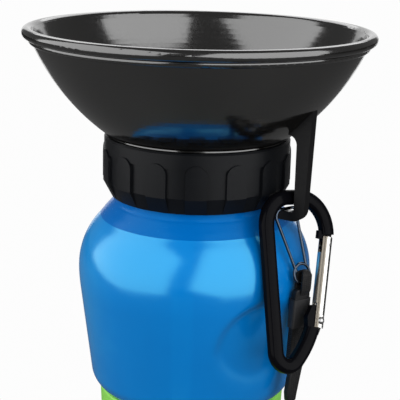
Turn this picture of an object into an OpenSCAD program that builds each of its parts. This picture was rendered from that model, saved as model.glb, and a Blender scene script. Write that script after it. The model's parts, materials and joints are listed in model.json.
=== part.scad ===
/* [Bottle] */
// Radius of the bulb at its widest
bulb_r = 45.8; // [44.5:0.1:46]
// Height of the widest ring of the bulb above the foot
bulb_z = 101; // [99:0.5:102]
// Wall of the squeeze bottle
bottle_wall = 1.4; // [1:0.1:1.8]
// Outer radius of the bottle's neck
neck_r = 32.2; // [31.8:0.1:32.3]
// Wall of the bottle's neck
neck_wall = 1.6; // [1.2:0.1:2]
// Height of the bottle's mouth above the foot
mouth_z = 147; // [146:0.5:148]
// Depth of the hollow pushed up into the bottle's foot
push_up = 5; // [2:0.5:5.5]

/* [Grip sleeve] */
// Height of the grip sleeve
sleeve_h = 51.5; // [49:0.5:53]
// Outer radius of the sleeve at its top edge
sleeve_top_r = 37.2; // [36.5:0.1:37.6]
// Outer radius of the sleeve at the foot
sleeve_foot_r = 35; // [33.5:0.1:36]
// Wall of the sleeve
sleeve_wall = 2; // [1.6:0.1:2.4]
// Radius of the hole in the sleeve's floor
sleeve_hole_r = 22; // [16:0.5:26]

/* [Drinking bowl] */
// Radius of the bowl at the middle of its rim bead
rim_r = 64.8; // [64:0.1:67]
// Height of the middle of the rim bead above the foot
rim_z = 192.5; // [190:0.5:196]
// Thickness of the rim bead
rim_bead = 4.2; // [3.8:0.1:4.8]
// Wall of the bowl
bowl_wall = 2.4; // [2:0.1:2.8]
// Thickness of the bowl's floor
bowl_floor_t = 2.6; // [2.2:0.1:3]
// Radius of the bowl's outer skin where it meets the neck
bowl_foot_r = 35.2; // [34:0.1:35.8]
// Radius of the arc of the bowl's side
bowl_arc_r = 85; // [75:1:100]

/* [Screw collar] */
// Radius of the smooth band round the top of the collar
collar_r = 36; // [35.6:0.1:36.2]
// Height of the collar
collar_h = 23.2; // [22:0.1:23.6]
// How far each grip pad stands out of the band
pad_out = 0.6; // [0.4:0.1:0.9]
// Width of a grip pad
pad_w = 8; // [6:0.5:10]
// Number of grip pads
pad_count = 15; // [12:1:18]

/* [Valve] */
// Radius of the knob's hub
knob_r = 5; // [4.8:0.1:5.2]
// Length of the knob's finger bar
knob_len = 22; // [18:0.5:26]
// Height of the finger bar
knob_h = 7; // [6:0.5:9]
// Radius of the knob's stem
stem_r = 3; // [2.8:0.1:3.1]
// Radius of each port through the bowl's floor
port_r = 2.8; // [2:0.1:3]
// Distance of the ports from the stem's axis
port_ring_r = 9; // [8.8:0.1:9.4]
// Radius of the shutter disc
shutter_r = 13; // [12.6:0.1:13.6]
// Inner radius of the dip tube
tube_bore_r = 3.2; // [2.8:0.1:3.4]
// Wall of the dip tube
tube_wall = 1; // [0.8:0.1:1.3]
// Sideways place of the dip tube
tube_x = -4; // [-6:0.5:0]
// Height of the dip tube's lower end above the foot
tube_foot_z = 14; // [13:0.5:18]

/* [Hook] */
// Direction of the hook round the bowl, from the front toward the right
hook_angle = 56; // [54:1:58]
// Radius of the inner face of the hook's tongue
tongue_r = 44.8; // [44.6:0.1:45.2]
// Thickness of the tongue along the radius
tongue_t = 4.4; // [3.8:0.1:5]
// Width of the hook's plate
hook_w = 3.5; // [3:0.1:3.8]
// Height of the hook's floor above the foot of the bottle
hook_z = 130.1; // [129.9:0.1:130.5]
// Thickness of the hook's floor
hook_floor = 3.4; // [3:0.1:3.8]
// Width of the seat between the tongue and the hook's lip
seat_w = 7.5; // [7.4:0.1:7.8]

/* [Carabiner] */
// Width of the carabiner's bar in its plane
bar_w = 5.6; // [5.2:0.1:5.8]
// Thickness of the carabiner's bar
bar_t = 4.8; // [4.4:0.1:4.9]
// Length of the straight spine
spine_len = 45.3; // [43:0.1:46]
// Width from the middle of the spine to the middle of the nose
clip_w = 29.2; // [28.6:0.1:30]
// Outer radius of the gate tube
gate_r = 2.5; // [2.4:0.1:2.7]
// Radius of the gate's rivet
rivet_r = 0.9; // [0.8:0.05:1]
// Lean of the carabiner away from the upright, where the bulb holds it
clip_lean = 18; // [17.9:0.1:18.4]
// Turn of the carabiner's plane from the plane of the front
clip_turn = 38; // [37:0.5:39]
// Roll of the carabiner in its own plane, heavy side down
clip_roll = 7; // [6:0.5:8]

/* [Bail and strap] */
// Radius of the bail's wire
wire_r = 0.6; // [0.5:0.05:0.65]
// Radius of the bail's eye at the middle of the wire
eye_r = 3.8; // [3.6:0.1:3.9]
// Length of the bail from the carabiner's bar to the middle of its eye
bail_len = 29.2; // [28:0.2:29.6]
// Width of the strap
strap_w = 7.4; // [7:0.1:7.8]
// Thickness of one ply of the strap
strap_ply = 1.2; // [1:0.05:1.25]
// Length of the strap below the eye
strap_len = 47.5; // [45:0.5:50]

/* [Hidden] */
$fn = 96;

gap = 0.3;        // between pieces that move past each other
seat_gap = 0.1;   // between a soft seal and its seat
fit = 0.05;       // running fit of a pin in its bore
cut = 0.01;       // overlap of a cut past a face

// Levels from the foot up
sleeve_floor = sleeve_wall;
foot_z = sleeve_floor + seat_gap;
gasket_t = 1.6;
flange_t = 2.2;
collar_lip_t = 2.2;
gasket_z = mouth_z + seat_gap;
flange_z = gasket_z + gasket_t;
collar_lip_z = flange_z + flange_t + gap;
collar_top_z = collar_lip_z + collar_lip_t;
collar_z = collar_top_z - collar_h;
bowl_base_z = collar_top_z + gap;
floor_z = bowl_base_z + bowl_floor_t;

// Radii round the neck
mouth_r = neck_r - neck_wall;
collar_bore_r = neck_r + 0.4;
flange_r = collar_bore_r - gap;
bowl_neck_r = collar_bore_r - 2.8;
neck_hollow_r = bowl_neck_r - bowl_wall;

// Points of an arc about c from angle a0 to a1
function arc(c, r, a0, a1, n) =
    [for (i = [0:n]) c + r * [cos(a0 + (a1 - a0) * i / n), sin(a0 + (a1 - a0) * i / n)]];
// Points of a curve drawn by its two ends and the corner between them
function bend(p0, p1, p2, n) =
    [for (i = [0:n]) let (t = i / n) (1 - t) * (1 - t) * p0 + 2 * t * (1 - t) * p1 + t * t * p2];
function reversed(list) = [for (i = [len(list) - 1:-1:0]) list[i]];

// A ring of round section lying flat
module torus(ring_r, section_r) {
    rotate_extrude() translate([ring_r, 0]) circle(r = section_r);
}

// ---- Squeeze bottle ----
shoulder_r = 28.8;
side_r = 60;
side_slope = 7.4;
waist_r = 8;
waist_rise = 6.6;
foot_corner = 4;
push_up_r = 20;
edge_r = sleeve_wall / 2;

// Skin of the bottle from the foot up to the mouth, drawn in by e
function bottle_skin(e) =
    let (
        body_foot_r = sleeve_foot_r - sleeve_wall - seat_gap,
        body_top_r = sleeve_top_r - sleeve_wall - seat_gap,
        side_c = [bulb_r - side_r, bulb_z],
        side_end = side_c + side_r * [cos(side_slope), -sin(side_slope)],
        waist_z = sleeve_h + waist_rise,
        waist_x = side_end[0] - (side_end[1] - waist_z) * tan(side_slope),
        waist_c = [waist_x - waist_r * cos(side_slope), waist_z + waist_r * sin(side_slope)],
        waist_turn = acos((body_top_r + 0.4 - waist_c[0]) / waist_r),
        neck_e = e * neck_wall / bottle_wall
    )
    concat(
        [[0, foot_z + push_up + e], [push_up_r, foot_z + push_up + e], [push_up_r + push_up, foot_z + e]],
        arc([body_foot_r - foot_corner, foot_z + foot_corner], foot_corner - e, -90, 0, 6),
        [[body_top_r - e, sleeve_h - edge_r]],
        arc(waist_c, waist_r - e, -waist_turn, -side_slope, 8),
        arc(side_c, side_r - e, -side_slope, 0, 4),
        arc([bulb_r - shoulder_r, bulb_z], shoulder_r - e, 4, 44, 12),
        bend([neck_r + 4.6 - e, bulb_z + 20.4], [neck_r + 1 - e, bulb_z + 23.6],
            [neck_r - neck_e, bulb_z + 28], 5),
        [[neck_r - neck_e, mouth_z]]
    );

module squeeze_bottle() {
    color([0.1, 0.45, 0.75, 0.85])
        rotate_extrude() polygon(concat(bottle_skin(0), reversed(bottle_skin(bottle_wall))));
}

// ---- Grip sleeve: an open-topped boot with a ring for a floor ----
module grip_sleeve() {
    in_foot_r = sleeve_foot_r - sleeve_wall;
    in_top_r = sleeve_top_r - sleeve_wall;
    edge_z = sleeve_h - edge_r;
    color([0.53, 0.78, 0.33])
        rotate_extrude() {
            polygon(concat(
                [[sleeve_hole_r, 0], [sleeve_foot_r - 1.5, 0], [sleeve_foot_r, 1.5],
                    [sleeve_top_r, edge_z], [in_top_r, edge_z]],
                reversed(arc([in_foot_r - foot_corner, sleeve_floor + foot_corner], foot_corner, -90, 0, 6)),
                [[sleeve_hole_r, sleeve_floor]]));
            translate([sleeve_top_r - edge_r, edge_z]) circle(r = edge_r);
        }
}

// ---- Drinking bowl with its neck, its flange and the hook moulded under it ----
bowl_top = [rim_r - 0.7, rim_z - 1.5];
bowl_foot = [bowl_foot_r, bowl_base_z + 0.6];
bowl_chord = norm(bowl_top - bowl_foot);
bowl_dir = (bowl_top - bowl_foot) / bowl_chord;
bowl_rise = sqrt(bowl_arc_r * bowl_arc_r - bowl_chord * bowl_chord / 4);
bowl_c = (bowl_top + bowl_foot) / 2 + bowl_rise * [-bowl_dir[1], bowl_dir[0]];

// Angle of a point about the centre of the arc of the bowl's side
function bowl_angle(p) = atan2(p[1] - bowl_c[1], p[0] - bowl_c[0]);
// Height of the bowl's outer skin at radius r
function bowl_skin_z(r) = bowl_c[1] - sqrt(bowl_arc_r * bowl_arc_r - (r - bowl_c[0]) * (r - bowl_c[0]));

// Half section of the bowl's side from the axis out to its skin drawn in by e
module bowl_section(e, top_r, top_z) {
    polygon(concat(
        [[0, bowl_foot[1]]],
        arc(bowl_c, bowl_arc_r - e, bowl_angle(bowl_foot), bowl_angle(bowl_top), 20),
        [[top_r, top_z], [0, top_z]]));
}

tip_t = 1.5;
tip_rise = 0.8;
tip_r = tongue_r - seat_w - tip_t;

// The hook in its own plane: x along the radius, y up
module hook_outline() {
    out_r = tongue_r + tongue_t;
    low_z = hook_z - hook_floor;
    top_z = bowl_skin_z(out_r) + 4;
    tongue_flare = 1.7;
    corner = 5;
    inner_corner = 1.2;
    root = 3.6;
    root_z = bowl_skin_z(tongue_r - root) - root;
    heel_r = tip_r + hook_floor / 2;
    difference() {
        union() {
            polygon([[tongue_r, low_z + corner], [out_r, low_z + corner],
                [out_r + tongue_flare, top_z], [tongue_r, top_z]]);
            translate([out_r - corner, low_z + corner]) circle(r = corner);
            translate([heel_r, low_z]) square([out_r - corner - heel_r, corner]);
            translate([heel_r, low_z + hook_floor / 2]) circle(r = hook_floor / 2);
            translate([tip_r, low_z + hook_floor / 2]) square([tip_t, hook_floor / 2 + tip_rise]);
            translate([tip_r + tip_t / 2, hook_z + tip_rise]) circle(r = tip_t / 2);
            translate([tongue_r - root, root_z]) square([root + 1, root + 3]);
        }
        translate([tip_r + tip_t, hook_z + inner_corner]) square([seat_w, 2 * corner]);
        translate([tip_r + tip_t, hook_z]) square([seat_w - inner_corner, 2 * corner]);
        translate([tongue_r - inner_corner, hook_z + inner_corner]) circle(r = inner_corner);
        translate([tongue_r - root, root_z]) circle(r = root);
    }
}

module valve_ports(z, h) {
    for (side = [-1, 1])
        translate([side * port_ring_r, 0, z]) cylinder(r = port_r, h = h);
}

boss_r = 3;
boss_ring_r = 18.6;
seal_t = 0.8;
screw_r = 1;
ring_pocket_r = 4.6;
ring_pocket = 1;

module at_manifold_screws() {
    for (a = [30:120:270]) rotate([0, 0, a]) translate([boss_ring_r, 0, 0]) children();
}

module drinking_bowl() {
    color([0.13, 0.125, 0.12])
        difference() {
            union() {
                rotate_extrude() bowl_section(0, rim_r - 1, rim_z + 0.8);
                translate([0, 0, rim_z]) torus(rim_r, rim_bead / 2);
                translate([0, 0, rim_z - rim_bead / 2 - 0.8]) torus(rim_r - 1.7, 1.3);
                translate([0, 0, bowl_base_z]) cylinder(r = bowl_foot_r - 0.6, h = 3);
                translate([0, 0, flange_z]) cylinder(r = bowl_neck_r, h = bowl_base_z - flange_z + 1);
                translate([0, 0, flange_z]) cylinder(r = flange_r, h = flange_t);
                rotate([90, 0, hook_angle - 90]) linear_extrude(hook_w, center = true) hook_outline();
            }
            intersection() {
                rotate_extrude() bowl_section(bowl_wall, rim_r - 0.4, rim_z + rim_bead);
                translate([0, 0, floor_z]) cylinder(r = rim_r, h = rim_z);
            }
            difference() {
                translate([0, 0, flange_z - cut])
                    cylinder(r = neck_hollow_r, h = bowl_base_z - flange_z + cut);
                at_manifold_screws() translate([0, 0, bowl_base_z - seal_t]) cylinder(r = boss_r, h = 2);
            }
            at_manifold_screws() translate([0, 0, bowl_base_z - seal_t - cut]) cylinder(r = screw_r, h = 2.6);
            translate([0, 0, bowl_base_z - 1]) cylinder(r = stem_r + fit, h = bowl_floor_t + 2);
            translate([0, 0, floor_z - ring_pocket]) cylinder(r = ring_pocket_r, h = 2);
            valve_ports(bowl_base_z - 1, bowl_floor_t + 2);
        }
}

module neck_gasket() {
    color([0.85, 0.85, 0.82])
        translate([0, 0, gasket_z])
            difference() {
                cylinder(r = flange_r - 0.1, h = gasket_t);
                translate([0, 0, -cut]) cylinder(r = neck_hollow_r + 1, h = gasket_t + 2 * cut);
            }
}

// ---- Screw collar: a smooth band over raised grip pads ----
band_h = 6;
collar_chamfer_h = 6.2;
collar_foot_in = 2.7;
pad_step = 0.6;

module collar_section(r) {
    polygon([[0, collar_z], [collar_r - collar_foot_in, collar_z], [r, collar_z + collar_chamfer_h],
        [r, collar_top_z], [0, collar_top_z]]);
}

module grip_pad() {
    top_z = collar_top_z - band_h - pad_w / 2 + 1.6;
    translate([collar_bore_r, 0, top_z])
        rotate([0, 90, 0])
            linear_extrude(collar_r) {
                circle(r = pad_w / 2);
                translate([0, -pad_w / 2]) square([collar_h, pad_w]);
            }
}

module screw_collar() {
    color([0.13, 0.13, 0.135])
        difference() {
            union() {
                rotate_extrude() collar_section(collar_r - pad_step);
                translate([0, 0, collar_top_z - band_h]) cylinder(r = collar_r, h = band_h - 0.6);
                translate([0, 0, collar_top_z - 0.6]) cylinder(r1 = collar_r, r2 = collar_r - 0.6, h = 0.6);
                intersection() {
                    rotate_extrude() collar_section(collar_r + pad_out);
                    for (i = [0:pad_count - 1]) rotate([0, 0, 360 * i / pad_count - 90]) grip_pad();
                }
            }
            translate([0, 0, collar_z - cut]) cylinder(r = collar_bore_r, h = collar_lip_z - collar_z + cut);
            translate([0, 0, collar_z]) cylinder(r = bowl_neck_r + gap, h = collar_h + 1);
        }
}

// ---- Twist valve: knob above the floor, shutter below it ----
shutter_t = 2;
shutter_z = bowl_base_z - gap - shutter_t;
knob_z = floor_z + gap;
spigot_r = stem_r - 1;
stem_screw_r = 0.8;
stem_screw_head_t = 1;

module valve_knob() {
    dome_r = 30;
    color([0.16, 0.16, 0.165])
        difference() {
            union() {
                translate([0, 0, knob_z]) cylinder(r = knob_r, h = knob_h - 1);
                translate([0, 0, knob_z])
                    intersection() {
                        translate([-2.2, -knob_len / 2, 1]) cube([4.4, knob_len, knob_h]);
                        translate([0, 0, knob_h - dome_r]) sphere(r = dome_r);
                        cylinder(r = knob_len / 2, h = knob_h + 1);
                    }
                translate([0, 0, shutter_z + shutter_t])
                    cylinder(r = stem_r, h = knob_z + 1 - shutter_z - shutter_t);
                translate([0, 0, shutter_z]) cylinder(r = spigot_r, h = shutter_t + 1);
            }
            translate([0, 0, shutter_z - cut]) cylinder(r = stem_screw_r + fit, h = 5);
        }
}

ring_section_r = 0.6;

module stem_o_ring() {
    color([0.75, 0.2, 0.15])
        translate([0, 0, floor_z - ring_pocket + ring_section_r + seat_gap / 2])
            torus(stem_r + 0.15 + ring_section_r, ring_section_r);
}

module valve_shutter() {
    color([0.8, 0.8, 0.78])
        difference() {
            translate([0, 0, shutter_z]) cylinder(r = shutter_r, h = shutter_t);
            translate([0, 0, shutter_z - cut]) cylinder(r = spigot_r + fit, h = shutter_t + 1);
            valve_ports(shutter_z - cut, shutter_t + 1);
        }
}

module stem_screw() {
    color([0.75, 0.75, 0.77])
        translate([0, 0, shutter_z - stem_screw_head_t]) {
            difference() {
                cylinder(r = spigot_r + 0.6, h = stem_screw_head_t);
                translate([-3, -0.25, -cut]) cube([6, 0.5, 0.4]);
            }
            cylinder(r = stem_screw_r, h = stem_screw_head_t + 4.5);
        }
}

// ---- Manifold: the cup under the floor that carries the dip tube ----
manifold_wall = 2;
manifold_bore_r = shutter_r + 1;
manifold_r = manifold_bore_r + 3;
manifold_top_z = bowl_base_z - seal_t;
manifold_floor_z = shutter_z - stem_screw_head_t - 1;
manifold_z = manifold_floor_z - manifold_wall;
lug_t = 1.8;
spout_len = 10;
spout_wall = 0.9;

module manifold() {
    color([0.86, 0.86, 0.84])
        difference() {
            union() {
                translate([0, 0, manifold_z])
                    cylinder(r = manifold_bore_r + manifold_wall, h = manifold_top_z - manifold_z);
                translate([0, 0, manifold_top_z - lug_t]) cylinder(r = manifold_r, h = lug_t);
                at_manifold_screws() translate([0, 0, manifold_top_z - lug_t])
                    cylinder(r = boss_r, h = lug_t);
                translate([tube_x, 0, manifold_z - spout_len])
                    cylinder(r = tube_bore_r - fit, h = spout_len + 1);
            }
            translate([0, 0, manifold_floor_z]) cylinder(r = manifold_bore_r, h = 10);
            translate([tube_x, 0, manifold_z - spout_len - 1])
                cylinder(r = tube_bore_r - fit - spout_wall, h = spout_len + 5);
            at_manifold_screws() translate([0, 0, manifold_top_z - lug_t - 1])
                cylinder(r = screw_r, h = lug_t + 2);
        }
}

module manifold_seal() {
    color([0.75, 0.2, 0.15])
        translate([0, 0, manifold_top_z])
            difference() {
                cylinder(r = manifold_r - 0.4, h = seal_t);
                translate([0, 0, -cut]) cylinder(r = manifold_bore_r, h = seal_t + 2 * cut);
                at_manifold_screws() translate([0, 0, -cut])
                    cylinder(r = boss_r + seat_gap, h = seal_t + 2 * cut);
            }
}

module manifold_screws() {
    head_t = 1.2;
    color([0.75, 0.75, 0.77])
        at_manifold_screws()
            translate([0, 0, manifold_top_z - lug_t - head_t])
                difference() {
                    union() {
                        cylinder(r = 1.9, h = head_t);
                        cylinder(r = screw_r - fit, h = head_t + lug_t + 2.2);
                    }
                    for (a = [0, 90]) rotate([0, 0, a]) translate([-1.2, -0.2, -cut]) cube([2.4, 0.4, 0.5]);
                }
}

tube_r = tube_bore_r + tube_wall;
tube_top_z = manifold_z;

module dip_tube() {
    color([0.9, 0.92, 0.94, 0.7])
        translate([tube_x, 0, tube_foot_z])
            difference() {
                cylinder(r = tube_r, h = tube_top_z - tube_foot_z);
                translate([0, 0, -cut]) cylinder(r = tube_bore_r, h = tube_top_z - tube_foot_z + 1);
            }
}

module intake_strainer() {
    sleeve_len = 7;
    foot_len = 4;
    wall = 1.1;
    slots = 6;
    color([0.2, 0.2, 0.2])
        translate([tube_x, 0, tube_foot_z])
            difference() {
                translate([0, 0, -foot_len]) cylinder(r = tube_r + fit + wall, h = foot_len + sleeve_len);
                cylinder(r = tube_r + fit, h = sleeve_len + 1);
                translate([0, 0, -foot_len + wall]) cylinder(r = tube_bore_r, h = foot_len + 1);
                for (i = [0:slots - 1])
                    rotate([0, 0, 360 * i / slots])
                        translate([0, -0.6, -foot_len + wall]) cube([tube_r + 3, 1.2, foot_len - wall - 0.6]);
            }
}

// ---- Carabiner, hung in the hook's seat and leaning on the bulb ----
clip_r = tongue_r - seat_w / 2 - 0.15;
clip_z = hook_z + gap + 2 * wire_r + 2 * gap + bar_w / 2;
corner_r = 11;
nose_r = 13.2;
spine_x = -corner_r;
nose_x = spine_x + clip_w;
bend_r = 5.6;
bend_end = 310;
bend_c = [spine_x + bend_r, -corner_r - spine_len];
arm_r = 35.7;
arm_end = 339.2;
arm_lap = 1.5;
arm_c = bend_c - (arm_r - bend_r) * [cos(bend_end), sin(bend_end)];
pivot_out = 1.7;
pivot = arm_c + (arm_r + pivot_out) * [cos(arm_end), sin(arm_end)];
nose_turn = 6;
nose_c = [nose_x - nose_r, -nose_r];
nose_end = nose_c + nose_r * [cos(nose_turn), -sin(nose_turn)];
gate_lean = atan2(nose_end[0] - pivot[0], nose_end[1] - pivot[1]);
gate_dir = [sin(gate_lean), cos(gate_lean)];
gate_len = norm(nose_end - pivot) - 2 * gap;

module in_clip_frame(lean, roll) {
    rotate([0, 0, hook_angle - 90]) translate([clip_r, 0, clip_z]) rotate([0, 0, 90 - hook_angle])
        rotate([0, 0, clip_turn]) rotate([-lean, 0, 0]) rotate([0, roll, 0]) children();
}

// Section of the bar: a rectangle with round corners, its width along x
module bar_section() {
    round_r = 1.9;
    cx = bar_w / 2 - round_r;
    cy = bar_t / 2 - round_r;
    polygon(concat(
        arc([cx, cy], round_r, 0, 90, 3),
        arc([-cx, cy], round_r, 90, 180, 3),
        arc([-cx, -cy], round_r, 180, 270, 3),
        arc([cx, -cy], round_r, 270, 360, 3)));
}

// Sweeps a section in the x-z plane about c, from angle a0 through turn
module sweep_arc(c, r, a0, turn) {
    translate([c[0], 0, c[1]]) rotate([90, 0, 0]) rotate([0, 0, a0])
        rotate_extrude(angle = turn) translate([r, 0]) children();
}

// Sweeps a section in the x-z plane along a straight line
module sweep_line(p, q) {
    translate([p[0], 0, p[1]]) rotate([0, atan2(q[0] - p[0], q[1] - p[1]), 0])
        linear_extrude(norm(q - p)) children();
}

tongue_plate_t = 2.2;
tongue_plate_r = 2.1;
tongue_top = 5.3;
gate_tail = 2.7;
hinge_room = gate_tail + 1.1;
arm_turn = arm_end - bend_end - asin(hinge_room / arm_r);
latch_z = gate_len - 3.6;
latch_pin_r = 0.55;
latch_plate_t = 1.6;

module carabiner_frame() {
    color([0.05, 0.05, 0.06])
        in_clip_frame(clip_lean, clip_roll)
            difference() {
                union() {
                    sweep_arc([0, -corner_r], corner_r, 90, 90) bar_section();
                    sweep_line([0, 0], [nose_x - nose_r, 0]) bar_section();
                    sweep_arc(nose_c, nose_r, -nose_turn, 90 + nose_turn) bar_section();
                    sweep_line([spine_x, -corner_r], [spine_x, -corner_r - spine_len]) bar_section();
                    sweep_arc(bend_c, bend_r, 180, bend_end - 180) bar_section();
                    sweep_arc(arm_c, arm_r, bend_end - arm_lap, arm_turn + arm_lap) bar_section();
                    rotate([90, 0, 0]) linear_extrude(tongue_plate_t, center = true) hinge_tongue();
                    latch_tooth();
                }
                translate([pivot[0], 0, pivot[1]]) rotate([90, 0, 0])
                    cylinder(r = rivet_r, h = 8, center = true);
            }
}

// Flat tongue that the gate's fork straddles, wider on the inner side of the gate
module hinge_tongue() {
    translate(pivot) rotate(-gate_lean) {
        circle(r = tongue_plate_r);
        polygon([[-4.6, -5.5], [-5.8, 0.5], [-3.9, tongue_top], [-1.5, tongue_top],
            [tongue_plate_r, 0], [0.3, -5.5]]);
    }
}

// Hooked tooth under the nose, with a notch for the gate's pin open to the inside
module latch_tooth() {
    depth = 6;
    notch = 2 * latch_pin_r + 0.9;
    in_gate_frame()
        translate([0, 0, gate_len + 2 * gap])
            difference() {
                translate([-gate_r + 0.5, -latch_plate_t / 2, -depth])
                    cube([2 * gate_r - 1, latch_plate_t, depth + 1]);
                translate([-gate_r - 1, -2, latch_z - gate_len - 2 * gap - notch / 2])
                    cube([gate_r + 2, 4, notch]);
            }
    in_gate_frame()
        translate([-gate_r - 2, -latch_plate_t / 2, gate_len + 2 * gap - 2.2])
            cube([gate_r + 2, latch_plate_t, 3]);
}

// Gate's own frame: origin at the rivet, z along the tube
module in_gate_frame() {
    translate([pivot[0], 0, pivot[1]]) rotate([0, gate_lean, 0]) children();
}

module gate_rivet() {
    head_y = gate_r - 0.2;
    color([0.8, 0.8, 0.82])
        in_clip_frame(clip_lean, clip_roll) in_gate_frame() rotate([90, 0, 0]) {
            cylinder(r = rivet_r - fit, h = 2 * head_y + 1, center = true);
            for (side = [0, 1]) mirror([0, 0, side]) translate([0, 0, head_y])
                intersection() {
                    translate([0, 0, -0.5]) sphere(r = 1.5);
                    cylinder(r = 2, h = 2);
                }
        }
}

gate_bore_r = 1.5;
gate_bore_z = 18;
fork_slot = tongue_plate_t + 2 * gap;
fork_depth = tongue_top + 1.1;

module carabiner_gate() {
    latch_slot = latch_plate_t + 2 * gap;
    flat_y = gate_r - 0.3;
    color([0.78, 0.77, 0.75])
        in_clip_frame(clip_lean, clip_roll) in_gate_frame()
            difference() {
                union() {
                    translate([0, 0, -gate_tail]) cylinder(r = gate_r, h = gate_tail + gate_len - 0.5);
                    translate([0, 0, gate_len - 0.5]) cylinder(r1 = gate_r, r2 = gate_r - 0.5, h = 0.5);
                }
                translate([-5, -fork_slot / 2, -5]) cube([10, fork_slot, 5 + fork_depth]);
                translate([-5, -latch_slot / 2, gate_len - 6.6]) cube([10, latch_slot, 8]);
                cylinder(r = gate_bore_r, h = gate_bore_z);
                rotate([90, 0, 0]) cylinder(r = rivet_r, h = 8, center = true);
                for (side = [0, 1]) mirror([0, side, 0]) translate([-2, flat_y, -4]) cube([4, 2, 6.2]);
                translate([0, 0, latch_z]) rotate([90, 0, 0]) cylinder(r = latch_pin_r, h = 8, center = true);
            }
}

module gate_latch_pin() {
    color([0.8, 0.8, 0.82])
        in_clip_frame(clip_lean, clip_roll) in_gate_frame() translate([0, 0, latch_z])
            rotate([90, 0, 0]) cylinder(r = latch_pin_r, h = 2 * gate_r - 0.3, center = true);
}

plunger_z = tongue_top + 0.35;
plunger_h = 3;
spring_wire_r = 0.3;

module gate_plunger() {
    color([0.6, 0.6, 0.62])
        in_clip_frame(clip_lean, clip_roll) in_gate_frame() translate([0, 0, plunger_z]) {
            cylinder(r = gate_bore_r - fit, h = plunger_h - 1);
            cylinder(r = 0.7, h = plunger_h);
        }
}

module gate_spring() {
    coil_r = gate_bore_r - seat_gap - spring_wire_r;
    turns = 7;
    steps = 12;
    sides = 6;
    foot = plunger_z + plunger_h - 1 + spring_wire_r + seat_gap;
    rise = gate_bore_z - seat_gap - spring_wire_r - foot;
    rings = turns * steps;
    points = [for (i = [0:rings], k = [0:sides - 1])
        let (a = 360 * i / steps, b = 360 * k / sides, r = coil_r + spring_wire_r * cos(b))
        [r * cos(a), r * sin(a), foot + rise * i / rings + spring_wire_r * sin(b)]];
    walls = [for (i = [0:rings - 1], k = [0:sides - 1])
        let (m = (k + 1) % sides)
        [i * sides + k, i * sides + m, (i + 1) * sides + m, (i + 1) * sides + k]];
    ends = [[for (k = [sides - 1:-1:0]) k], [for (k = [0:sides - 1]) rings * sides + k]];
    color([0.7, 0.7, 0.72])
        in_clip_frame(clip_lean, clip_roll) in_gate_frame()
            polyhedron(points = points, faces = concat(walls, ends));
}

// ---- Wire bail under the carabiner's bar, and the strap in its eye ----
bail_lean = clip_lean - 3.6;
eye_x = 2.5;
bail_top_z = -bar_w / 2 - 2 * gap - wire_r;

// A bend of the wire, a hair thicker than the straight runs that end inside it
module wire_bend(c, r, a0, turn) {
    sweep_arc(c, r, a0, turn) circle(r = wire_r + 0.02, $fn = 12);
}

// A straight run of the wire, carried a little way into the bends at its ends
module wire_run(p, q) {
    lap = 0.2 * (q - p) / norm(q - p);
    sweep_line(p - lap, q + lap) circle(r = wire_r, $fn = 12);
}

module wire_bail() {
    eye = [eye_x, -bail_len];
    left_r = 2.8;
    right_r = 1.6;
    left_lean = 17;
    right_lean = 4.5;
    left_c = [-3.7, bail_top_z - left_r];
    right_c = [1.8, bail_top_z - right_r];
    left_leg = left_c + left_r * [-cos(left_lean), -sin(left_lean)];
    right_leg = right_c + right_r * [cos(right_lean), sin(right_lean)];
    left_len = left_leg[1] - eye[1] - 1.2;
    right_len = right_leg[1] - eye[1] - 3;
    color([0.8, 0.8, 0.82])
        in_clip_frame(bail_lean, 0) {
            wire_run(left_leg, left_leg + left_len * [tan(left_lean), -1]);
            wire_bend(left_c, left_r, 90, 90 + left_lean);
            wire_run([left_c[0], bail_top_z], [right_c[0], bail_top_z]);
            wire_bend(right_c, right_r, right_lean, 90 - right_lean);
            wire_run(right_leg, right_leg + right_len * [tan(right_lean), -1]);
            wire_bend(eye, eye_r, 0, 360);
        }
}

// Strap's own frame: origin at the lowest point of the eye's wire, z up
module in_strap_frame() {
    in_clip_frame(bail_lean, 0) translate([eye_x, 0, -bail_len - eye_r])
        rotate([bail_lean + strap_tuck, strap_sway, 0]) children();
}

strap_sway = 1.6;
strap_tuck = 1.5;
strap_t = 2 * strap_ply + 0.1;
loop_hole_r = wire_r + 0.6;
loop_slack = 3.3;
loop_r = loop_hole_r + strap_ply - 0.2;
neck_w = 4.8;
neck_x = 0;
strap_x = -0.8;
shoulder_z = -loop_r - 2.2;
keeper_h = 11.6;
keeper_z = shoulder_z - 1 - keeper_h;
fold_end_z = -strap_len + 13;

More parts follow.
